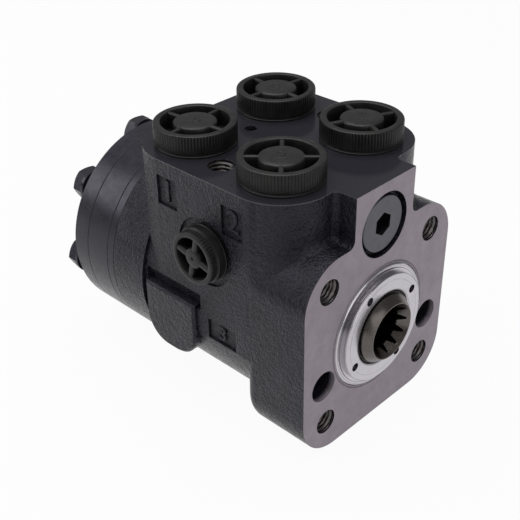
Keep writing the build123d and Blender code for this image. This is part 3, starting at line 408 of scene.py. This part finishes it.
# %% Six liners
FLANGE_THREAD_END, LINE_THREAD_END, THREAD_SMOOTH = -16.3 * MM, -13.8 * MM, 60
mounts = {mount["name"]: mount for mount in frame["record"]["mounts"]}
column, line = mounts["column_bolts"], mounts["line_bolts"]
offset = column["dims"]["pcd_mm"] / 2 * np.cos(TAU / 8) * MM
along_x = Matrix.Rotation(TAU / 4, 4, "Y")
liners = []
for side_y in (-offset, offset):
    for side_z in (-offset, offset):
        spot = Matrix.Translation((0, side_y, side_z)) @ along_x
        liners.append(placed(thread_liner(FLANGE_THREAD_END), spot))
for side in (-0.5, 0.5):
    hole_y = side * line["dims"]["spacing_y_mm"] * MM
    spot = Matrix.Translation((line["pos_m"][0], hole_y, TOP_Z))
    liners.append(placed(thread_liner(LINE_THREAD_END), spot))
thread_piece = mesh_object("tapped_threads", liners, THREAD_SMOOTH)
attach(thread_piece, "valve_block")

# %% [markdown]
# ## Cast and moulded numerals
# Foundries cast a mark beside each port, in a shallow field, and moulders number the cavities of a
# plug tool on its hub. Here both are plain numbers. They could be a bump, but real relief also
# shows in outline. Text is a curve with depth and a round bevel, and becomes a mesh before it
# takes its place. The cast ones have soft edges, as a sand mould leaves them.

# %% A numeral as a mesh
SIZE_PER_HEIGHT, BEVEL_STEPS = 1.35, 3


def numeral(name, digits, height, depth, boldness, place, body):
    """Raised digits, centred on place's origin and facing its Z; sizes in millimetres."""
    words = bpy.data.curves.new("digits", "FONT")
    words.body = digits
    words.size = height * SIZE_PER_HEIGHT * MM
    words.offset = boldness * MM
    words.bevel_depth = depth / 2 * MM
    words.bevel_resolution = BEVEL_STEPS
    words.align_x, words.align_y = "CENTER", "CENTER"
    stand_in = bpy.data.objects.new("digits", words)
    bpy.context.scene.collection.objects.link(stand_in)
    bpy.context.view_layer.update()
    mesh = bpy.data.meshes.new_from_object(stand_in)
    bpy.data.objects.remove(stand_in)
    mesh.transform(place)
    mark = bpy.data.objects.new(name, mesh)
    bpy.context.scene.collection.objects.link(mark)
    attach(mark, body)
    print(name, len(mesh.polygons), "faces")
    return mark


# %% [markdown]
# ### Where the numerals stand
# The three cast ones lie in the fields that the CAD sinks into the side face. Each cavity number
# lies on its plug's hub, turned half-way between the faces, and rides with the plug.

# %% Numerals in the cast fields and on the hubs
FIELDS = {"1": (-67.5, 48.0, 8.8), "2": (-33.8, 48.0, 8.8), "3": (-41.2, -3.2, 6.6)}
FIELD_DEPTH, CAST_RELIEF, CAST_OFFSET = 0.8 * MM, 0.9, -0.15
CAVITY_HEIGHT, CAVITY_RELIEF = 6.0, 0.5
cast_marks, moulded_marks = [], []
for digit, (x, z, height) in FIELDS.items():
    spot = Matrix.Translation((x * MM, SIDE_Y + FIELD_DEPTH * 0.75, z * MM))
    spot = spot @ Matrix.Rotation(TAU / 4, 4, "X")
    cast_marks.append(numeral("cast_numeral_" + digit, digit, height, CAST_RELIEF, CAST_OFFSET,
                              spot, "valve_block"))
hub_top = TOP_Z + (PORT_PLUG["height"] - 0.2) * MM
for cavity, name in enumerate(SPOKE_ANGLES, start=1):
    place = middle(name)
    spot = Matrix.Translation((place[0], place[1], hub_top)) @ Matrix.Rotation(TAU / 8, 4, "Z")
    moulded_marks.append(numeral("moulded_numeral_" + name, str(cavity), CAVITY_HEIGHT,
                                 CAVITY_RELIEF, 0.0, spot, BODY_OF_PLUG[name]))

# %% [markdown]
# ## Materials
# A finish is a small node tree. The helper class below keeps the trees short: it adds a node, sets
# its inputs and wires it in one call. Patterns read Object coordinates, which are metres in the
# part's own frame, so grain has its real size and machined faces can be told apart by where they
# lie.

# %% A helper for node trees
MM_PER_METRE = 1000


class Finish:
    """One material with its Principled shader; add() makes a node, wires sockets, sets the rest."""

    def __init__(self, name, colour, roughness, metallic=0.0):
        self.material = bpy.data.materials.new(name)
        self.material.use_nodes = True
        self.tree = self.material.node_tree
        self.shader = self.tree.nodes["Principled BSDF"]
        self.set("Base Color", (*colour, 1))
        self.set("Roughness", roughness)
        self.set("Metallic", metallic)
        self.coords = self.tree.nodes.new("ShaderNodeTexCoord").outputs["Object"]
        print("finish", name)

    def wire(self, socket, value):
        """A socket is linked, anything else becomes the input's own value."""
        if isinstance(value, bpy.types.NodeSocket):
            self.tree.links.new(value, socket)
        else:
            socket.default_value = value

    def set(self, socket, value):
        """Gives one input of the shader its value or its link."""
        self.wire(self.shader.inputs[socket], value)

    def add(self, kind, inputs=None, **options):
        """A new node; options are its properties, and inputs are what goes into its sockets."""
        node = self.tree.nodes.new("ShaderNode" + kind)
        for option, value in options.items():
            setattr(node, option, value)
        for key, value in (inputs or {}).items():
            self.wire(node.inputs[key], value)
        return node

    def noise(self, size_mm, detail=3.0, roughness=0.55, coords=None):
        """Fractal noise of 0 to 1 whose largest grains are about size_mm apart."""
        node = self.add("TexNoise", {"Vector": coords or self.coords, "Detail": detail,
                                     "Scale": MM_PER_METRE / size_mm, "Roughness": roughness})
        return node.outputs["Fac"]

    def math(self, operation, a, b=0.0):
        """One step of arithmetic on a and b."""
        return self.add("Math", {0: a, 1: b}, operation=operation).outputs[0]

    def ramp(self, value, low, high, out_low=0.0, out_high=1.0):
        """Straight ramp from out_low at low to out_high at high, held outside."""
        node = self.add("MapRange", {"Value": value, "From Min": low, "From Max": high,
                                     "To Min": out_low, "To Max": out_high})
        return node.outputs["Result"]

    def blend(self, share, first, second):
        """Colour mix: first where share is 0, second where it is 1."""
        node = self.add("Mix", data_type="RGBA")
        self.wire(node.inputs["Factor"], share)
        for socket, value in ((6, first), (7, second)):
            self.wire(node.inputs[socket], (*value, 1) if isinstance(value, tuple) else value)
        return node.outputs[2]

    def bump(self, height, strength, distance_mm):
        """The surface's normal, tilted by a height whose 1 stands for distance_mm."""
        node = self.add("Bump", {"Height": height, "Strength": strength,
                                 "Distance": distance_mm * MM})
        return node.outputs["Normal"]

    def axes(self):
        """X, Y and Z in the part's own frame, in metres."""
        node = self.add("SeparateXYZ", {"Vector": self.coords})
        return node.outputs["X"], node.outputs["Y"], node.outputs["Z"]

    def squares(self, y, z):
        """y squared plus z squared."""
        return self.math("ADD", self.math("MULTIPLY", y, y), self.math("MULTIPLY", z, z))

    def ring(self, y, z, radius_mm, width_mm):
        """1 on a circle of radius_mm about the X axis, falling to 0 half a width off both ways."""
        radius = self.math("SQRT", self.squares(y, z))
        off = self.math("ABSOLUTE", self.math("SUBTRACT", radius, radius_mm * MM))
        return self.ramp(off, 0.0, width_mm / 2 * MM, 1.0, 0.0)

    def within(self, y, z, place, radius_mm):
        """1 where a point is nearer than radius_mm to the line along X through place (y, z)."""
        dy = self.math("SUBTRACT", y, place[0] * MM)
        dz = self.math("SUBTRACT", z, place[1] * MM)
        return self.math("LESS_THAN", self.squares(dy, dz), (radius_mm * MM) ** 2)


# %% [markdown]
# ### Painted casting with machined faces
# The block is grey iron, sand cast and sprayed black, so its skin is leathery and shines where a
# bump faces a lamp. The mounting face is milled bare after painting. The port face is milled first
# and painted after, so it is almost a mirror. One material could be given to each face of the
# mesh, but a mask of place and facing needs no faces picked, and it can fade from bare iron at the
# mouth of a bore to black deeper in, which is painted shade. Masks also paint a highlight along the
# port face's edge and shade in the recessed numeral fields.

# %% Regions of the casting
SHOCK_BORES, BORE_R = ((31.0, -11.2), (-31.0, -11.2)), 6.3
FACE_SKIN, FLAT = 0.05 * MM, 0.9


def casting_regions(f, x, y, z):
    """Masks of 0 to 1 by place and by the way a surface faces."""
    facing = f.add("SeparateXYZ", {"Vector": f.add("NewGeometry").outputs["Normal"]}).outputs
    bored = f.math("MAXIMUM", *[f.within(y, z, bore, BORE_R) for bore in SHOCK_BORES])
    wall = f.math("LESS_THAN", f.math("ABSOLUTE", facing["X"]), 0.5)
    # Bore walls are bare iron at the mouth and take the black paint colour deeper in: painted shade
    # down the bore.
    bore_shade_fade = f.ramp(x, -2.6 * MM, -0.4 * MM)
    mouth = f.math("MULTIPLY", f.math("MULTIPLY", bored, wall), bore_shade_fade)
    milled = f.math("MULTIPLY", f.math("GREATER_THAN", x, -FACE_SKIN),
                    f.math("GREATER_THAN", facing["X"], FLAT))
    top = f.math("MULTIPLY", f.math("GREATER_THAN", z, TOP_Z - FACE_SKIN),
                 f.math("GREATER_THAN", facing["Z"], FLAT))
    # A band just under the port face's edge, where a highlight is painted.
    painted_edge_highlight = f.math("MULTIPLY", f.math("GREATER_THAN", z, TOP_Z - 0.35 * MM),
                      f.math("SUBTRACT", 1.0, top))
    # Faces of the recessed numeral fields, marked for painted shade.
    painted_field_shade = f.math("MULTIPLY", f.math("GREATER_THAN", y, SIDE_Y + 0.3 * MM),
                    f.math("LESS_THAN", y, SIDE_Y + 0.9 * MM))
    painted_field_shade = f.math("MULTIPLY", painted_field_shade, f.math("LESS_THAN", facing["Y"], -0.8))
    bare = f.math("MAXIMUM", milled, mouth)
    skin = f.math("SUBTRACT", 1.0, f.math("MAXIMUM", bare, top))
    return milled, bare, top, painted_edge_highlight, painted_field_shade, skin


# %% [markdown]
# ### Colour, gloss and relief of the casting
# The paint is a very dark blue-black, thinner and paler in patches and darkest in the pits. The
# recessed fields of the cast numerals get that darkest colour too, as painted shade, and a pale
# band along the port face's edge is a painted highlight. The bare iron is stained. Relief is two
# sizes of noise for the leathery skin, minus the pits and one turned ring on the mounting face.

# %% Casting
PAINT_TINT, PAINT_GLOSS = (0.88, 0.86, 1.0, 1.0), 0.24
THIN_PAINT, THICK_PAINT = (0.019, 0.0185, 0.025), (0.006, 0.006, 0.008)
# The darkest colour: pits, and painted shade in the recessed numeral fields.
PIT_AND_SHADE_PAINT = (0.004, 0.004, 0.005)
# The second colour here is a painted highlight along the port face's edge.
FACE_PAINT, EDGE_HIGHLIGHT_COLOUR = (0.019, 0.0185, 0.024), (0.12, 0.115, 0.125)
CLEAN_IRON, STAINED_IRON = (0.31, 0.27, 0.30), (0.235, 0.203, 0.228)
TURNED_RING = (25.9, 0.8)


def casting():
    """Black paint on rough iron, with its bare milled face and its smooth painted one."""
    f = Finish("cast_black_paint", (0.016, 0.016, 0.019), 0.4)
    f.set("Specular IOR Level", PAINT_GLOSS)
    f.set("Specular Tint", PAINT_TINT)
    x, y, z = f.axes()
    milled, bare, top, painted_edge_highlight, painted_field_shade, skin = casting_regions(f, x, y, z)

    grain = f.noise(0.8, 2.0, 0.5)
    cloud = f.math("ADD", f.math("MULTIPLY", f.noise(11.0, 4.0), 0.5),
                   f.math("MULTIPLY", grain, 0.5))
    pits = f.ramp(f.noise(2.6, 6.0, 0.8), 0.66, 0.72)
    # Pits, and as painted shade the recessed numeral fields, take the darkest colour.
    pits_and_field_shade = f.math("MULTIPLY", f.math("MAXIMUM", pits, painted_field_shade), 0.75)
    paint = f.blend(f.ramp(cloud, 0.4, 0.6), THICK_PAINT, THIN_PAINT)
    paint = f.blend(pits_and_field_shade, paint, PIT_AND_SHADE_PAINT)
    paint = f.blend(top, paint, FACE_PAINT)
    # Painted highlight: a pale band along the port face's edge.
    paint = f.blend(f.math("MULTIPLY", painted_edge_highlight, 0.7), paint, EDGE_HIGHLIGHT_COLOUR)
    iron = f.blend(f.ramp(f.noise(7.0, 6.0, 0.7), 0.35, 0.75), CLEAN_IRON, STAINED_IRON)
    f.set("Base Color", f.blend(bare, paint, iron))
    f.set("Metallic", f.math("MULTIPLY", bare, 0.35))

    skin_rough = f.math("MULTIPLY", f.ramp(f.noise(4.0, 4.0), 0.3, 0.7, 0.2, 0.32), skin)
    face_rough = f.math("ADD", f.math("MULTIPLY", top, 0.14), f.math("MULTIPLY", bare, 0.42))
    f.set("Roughness", f.math("ADD", skin_rough, face_rough))

    leather = f.math("ADD", f.math("MULTIPLY", f.noise(2.2, 3.0, 0.6), 0.9),
                     f.math("MULTIPLY", grain, 0.8))
    relief = f.math("SUBTRACT", f.math("MULTIPLY", leather, skin), f.math("MULTIPLY", pits, 0.4))
    relief = f.math("SUBTRACT", relief, f.math("MULTIPLY", milled, f.ring(y, z, *TURNED_RING)))
    cutter = f.math("ADD", f.math("MULTIPLY", milled, 0.05), 0.015)
    milling = f.math("MULTIPLY", f.noise(0.4, 2.0), cutter)
    f.set("Normal", f.bump(f.math("ADD", relief, milling), 1.0, 0.55))
    return f.material


# %% [markdown]
# ### Machined and painted ring, plate and cover
# The gear set is turned smooth before it is painted, so the paint shows soft bands of light. The
# joints between its plates are scored lines: thin, dark and a little hollow. Bevels on the CAD's
# edges would show them too, but these lines read their places along X from the boxes of the
# plates.

# %% Turned and painted
JOINT_X = (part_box("distributor_plate")[0][0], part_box("gear_ring")[0][0],
           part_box("distributor_plate")[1][0])
JOINT_COLOUR = (0.002, 0.002, 0.002)
print("joints at", [round(float(joint) / MM, 1) for joint in JOINT_X], "mm along X")


def turned_paint():
    """Black paint on turned faces, with a dark score at each joint between the plates."""
    f = Finish("turned_black_paint", (0.022, 0.021, 0.027), 0.3)
    f.set("Specular IOR Level", 0.34)
    f.set("Specular Tint", PAINT_TINT)
    x, y, z = f.axes()
    score = 0.0
    for joint in JOINT_X:
        away = f.math("ABSOLUTE", f.math("SUBTRACT", x, float(joint)))
        score = f.math("MAXIMUM", f.ramp(away, 0.1 * MM, 0.3 * MM, 1.0, 0.0), score)
    lathe = f.noise(0.5, 2.0, 0.5, f.add("CombineXYZ", {"X": x}).outputs["Vector"])
    mist = f.ramp(f.noise(9.0, 5.0), 0.3, 0.7)
    paint = f.blend(mist, (0.011, 0.0105, 0.015), (0.018, 0.0172, 0.024))
    f.set("Base Color", f.blend(score, paint, JOINT_COLOUR))
    f.set("Roughness", f.math("ADD", f.ramp(f.noise(3.0, 5.0), 0.3, 0.7, 0.24, 0.36),
                              f.math("MULTIPLY", score, 0.5)))
    relief = f.math("ADD", f.math("MULTIPLY", lathe, 0.04), f.math("MULTIPLY", f.noise(1.4), 0.05))
    f.set("Normal", f.bump(f.math("SUBTRACT", relief, score), 0.5, 0.2))
    return f.material


# %% [markdown]
# ### Steel
# Bare steel is one function. The lathe leaves rings, so the pattern reads the distance from the
# axis and the place along it. A bright bush, a brownish hardened shaft and springs differ in
# colour, roughness and in how much oil stain they carry, so they are values and not new node
# trees.

# %% Steels
# Colour and share of the painted shade in grooves on turned steel.
GROOVE_SHADE_COLOUR, GROOVE_SHADE_SHARE = (0.03, 0.028, 0.03), 0.75


def steel(name, colour, roughness, ring_mm=0.25, dirt=0.15, ring_depth=0.1, scored=()):
    """Turned steel; scored holds (radius, width) in mm of grooves with painted shade in them."""
    f = Finish(name, colour, roughness, 1.0)
    x, y, z = f.axes()
    radius = f.math("SQRT", f.squares(y, z))
    turned = f.add("CombineXYZ", {"X": radius, "Y": x}).outputs["Vector"]
    rings = f.noise(ring_mm, 2.0, 0.5, turned)
    stain = f.ramp(f.noise(6.0, 5.0, 0.7), 0.45, 0.8)
    bare = f.blend(stain, colour, tuple(c * (1 - 2 * dirt) for c in colour))
    groove = 0.0
    for circle in scored:
        groove = f.math("MAXIMUM", f.ring(y, z, *circle), groove)
    if scored:
        # Painted shade: the grooves are darkened.
        bare = f.blend(f.math("MULTIPLY", groove, GROOVE_SHADE_SHARE), bare, GROOVE_SHADE_COLOUR)
    f.set("Base Color", bare)
    f.set("Roughness", f.ramp(f.noise(1.8, 4.0), 0.3, 0.7, roughness - 0.04, roughness + 0.06))
    relief = f.math("SUBTRACT", f.math("MULTIPLY", rings, ring_depth), groove)
    f.set("Normal", f.bump(relief, 0.5, 0.06))
    return f.material


# %% [markdown]
# ### Plastic and rubber
# The plugs are moulded polyethylene: black, slightly waxy, with a faint orange peel. Seals are
# duller. A flat colour would look like a hole, so both vary a little in colour and in gloss.

# %% Plastic and rubber
def plastic():
    """Black polyethylene: cloudy colour and gloss, and a fine orange peel."""
    f = Finish("moulded_black", (0.012, 0.012, 0.012), 0.34)
    f.set("Specular IOR Level", 0.24)
    cloud = f.ramp(f.noise(4.0, 4.0), 0.3, 0.7)
    f.set("Base Color", f.blend(cloud, (0.008, 0.008, 0.0078), (0.017, 0.017, 0.0165)))
    f.set("Roughness", f.ramp(f.noise(1.2, 4.0), 0.3, 0.7, 0.27, 0.42))
    f.set("Normal", f.bump(f.noise(0.7, 2.0), 0.12, 0.05))
    return f.material


def rubber():
    """Black seal rubber, dull and finely grained."""
    f = Finish("seal_black", (0.012, 0.012, 0.012), 0.6)
    cloud = f.noise(2.0, 3.0)
    f.set("Base Color", f.blend(cloud, (0.009, 0.009, 0.009), (0.022, 0.022, 0.022)))
    f.set("Normal", f.bump(f.noise(0.5, 2.0), 0.2, 0.05))
    return f.material


# %% [markdown]
# ### Finishes on pieces
# The record names a slot for every node, so one table of slots paints them all. The bush carries
# grooves darkened with painted shade, and the shaft is browner than the rest of the dark steel, so
# these two are painted by name.

# %% Finishes
BRIGHT_COLOUR = (0.50, 0.48, 0.515)
# Grooves on the bush, bumped in and darkened with painted shade.
BUSH_CIRCLES = ((25.1, 0.5), (24.2, 0.22), (23.3, 0.35), (22.0, 0.2), (19.6, 0.16), (15.6, 0.4))
CAST = casting()
PLASTIC = plastic()
SHAFT = steel("shaft_steel", (0.115, 0.103, 0.096), 0.26, 0.3, 0.2)
BUSH = steel("turned_bush", BRIGHT_COLOUR, 0.2, 0.35, 0.06, 0.12, BUSH_CIRCLES)
THREAD = steel("cut_iron", (0.11, 0.10, 0.10), 0.34, 0.4)
BY_SLOT = {"housing_paint": CAST, "machined_paint": turned_paint(), "black_plastic": PLASTIC,
           "bright_steel": steel("bright_turned_steel", BRIGHT_COLOUR, 0.2, 0.35, 0.06),
           "dark_steel": steel("blackened_steel", (0.095, 0.093, 0.105), 0.36, 0.4, 0.1),
           "spring_steel": steel("spring_steel", (0.34, 0.33, 0.32), 0.3),
           "seal_rubber": rubber()}
SLOT_OF = {entry["node"]: entry["material_slot"] for entry in frame["record"]["subparts"]}


def paint(piece, material):
    """The piece's only material."""
    piece.data.materials.clear()
    piece.data.materials.append(material)


for name, node in nodes.items():
    paint(node, BY_SLOT[SLOT_OF[name]])
paint(nodes["front_bush"], BUSH)
paint(thread_piece, THREAD)
for piece in (nodes["spool"], splined_spool):
    paint(piece, SHAFT)
for piece in list(plugs.values()) + moulded_marks:
    paint(piece, PLASTIC)
for mark in cast_marks:
    paint(mark, CAST)
new_pieces = [splined_spool, thread_piece, *plugs.values(), *moulded_marks, *cast_marks]
print("painted", len(nodes), "nodes and", len(new_pieces), "new pieces")

# %% [markdown]
# ## Camera
# The camera stands where the viewer does: 44.6 degrees round from the LS side and 32.4 degrees up.
# A Track To constraint could aim it, but it would centre the object. Its place and axes follow
# from those angles and from where the origin should fall in a frame of 520 pixels.

# %% Camera
AZIMUTH, ELEVATION, ROLL = np.radians(44.578), np.radians(32.425), np.radians(-0.985)
FOCAL_PX, DISTANCE = 934.264, 350.421 * MM
FRAME_PX, SENSOR_MM = 520, 36
ORIGIN_PX = np.array([378.208, 324.501])


def stand(thing, side, top, back, place):
    """Places a camera or lamp by its three axes; it looks along minus back."""
    rows = [[side[i], top[i], back[i], place[i]] for i in range(3)]
    thing.matrix_world = Matrix(rows + [[0, 0, 0, 1]])
    bpy.context.scene.collection.objects.link(thing)


back = np.array([np.sin(AZIMUTH) * np.cos(ELEVATION), -np.cos(AZIMUTH) * np.cos(ELEVATION),
                 np.sin(ELEVATION)])
level = np.cross(-back, (0, 0, 1))
level = level / np.linalg.norm(level)
over = np.cross(level, -back)
right = level * np.cos(ROLL) + over * np.sin(ROLL)
up = over * np.cos(ROLL) - level * np.sin(ROLL)
slide = (ORIGIN_PX - FRAME_PX / 2) / FOCAL_PX * DISTANCE
eye = back * DISTANCE - right * slide[0] + up * slide[1]
camera_data = bpy.data.cameras.new("camera")
camera_data.sensor_width = SENSOR_MM
camera_data.lens = FOCAL_PX / FRAME_PX * SENSOR_MM
camera_data.clip_start = 0.01
camera = bpy.data.objects.new("camera", camera_data)
stand(camera, right, up, back, eye)
bpy.context.scene.camera = camera
print("camera at", np.round(eye / MM, 1), "mm")

# %% [markdown]
# ## Floor and light
# The floor is a pale sheet that is white to the camera and to reflections, and dims only a little
# where the object shades it. More light would make it white too, but it would also wash out the
# paint, so the floor glows in its own material, and only on the rays that see it.

# %% Floor
FLOOR_Z, FLOOR_REACH, GLOW_SHARE = CAD_BOX[0][2], 6.0, 0.95
floor_mesh = bpy.data.meshes.new("floor")
corners = [(-1, -1), (1, -1), (1, 1), (-1, 1)]
floor_mesh.from_pydata([(FLOOR_REACH * x, FLOOR_REACH * y, FLOOR_Z) for x, y in corners], [],
                       [(0, 1, 2, 3)])
floor = bpy.data.objects.new("floor", floor_mesh)
bpy.context.scene.collection.objects.link(floor)
floor_finish = Finish("white_floor", (0.55, 0.55, 0.55), 0.9)
paths = floor_finish.add("LightPath").outputs
seen = floor_finish.math("MAXIMUM", paths["Is Camera Ray"], paths["Is Glossy Ray"])
seen = floor_finish.math("MAXIMUM", seen, paths["Is Transmission Ray"])
glow = floor_finish.add("Emission", {"Color": (1, 1, 1, 1), "Strength": 1.0}).outputs[0]
share = floor_finish.math("MULTIPLY", seen, GLOW_SHARE)
both = floor_finish.add("MixShader", {0: share, 1: floor_finish.shader.outputs[0], 2: glow})
output = floor_finish.tree.nodes["Material Output"]
floor_finish.wire(output.inputs["Surface"], both.outputs[0])
paint(floor, floor_finish.material)
print("floor at", round(float(FLOOR_Z) / MM, 1), "mm")

# %% [markdown]
# ### Lamps and world
# Product light is large and soft: a wide panel overhead, one on the left, and a fill on the right.
# Point lamps would leave small hard glints on the gloss paint. The world is white to the camera
# and much dimmer as a light, so the background stays pale while the shadows keep their depth.

# %% Lamps and world
LAMP_TARGET = (-0.05, 0, 0.0)
WORLD_LIGHT, WORLD_SEEN = 0.25, 1.0


def panel(name, place, size, power):
    """Square area lamp at place, turned to face the target."""
    data = bpy.data.lights.new(name, "AREA")
    data.size = size
    data.energy = power
    direction = np.array(LAMP_TARGET) - np.array(place)
    away = -direction / np.linalg.norm(direction)
    side = np.cross((0, 0, 1), away)
    side = side / np.linalg.norm(side)
    stand(bpy.data.objects.new(name, data), side, np.cross(away, side), away, place)
    print("lamp", name, power, "W")


panel("overhead", (-0.25, 0.0, 1.2), 1.3, 17.0)
panel("left", (-0.9, -0.7, 0.6), 0.6, 3.6)
panel("front", (0.95, -0.2, 0.4), 0.8, 2.5)

world = bpy.data.worlds.new("studio")
bpy.context.scene.world = world
world.use_nodes = True
sky = world.node_tree.nodes["Background"]
sky.inputs["Color"].default_value = (1, 1, 1, 1)
ray = world.node_tree.nodes.new("ShaderNodeLightPath")
strength = world.node_tree.nodes.new("ShaderNodeMapRange")
strength.inputs["To Min"].default_value = WORLD_LIGHT
strength.inputs["To Max"].default_value = WORLD_SEEN
world.node_tree.links.new(ray.outputs["Is Camera Ray"], strength.inputs["Value"])
world.node_tree.links.new(strength.outputs["Result"], sky.inputs["Strength"])
bpy.context.scene.view_settings.view_transform = "Standard"
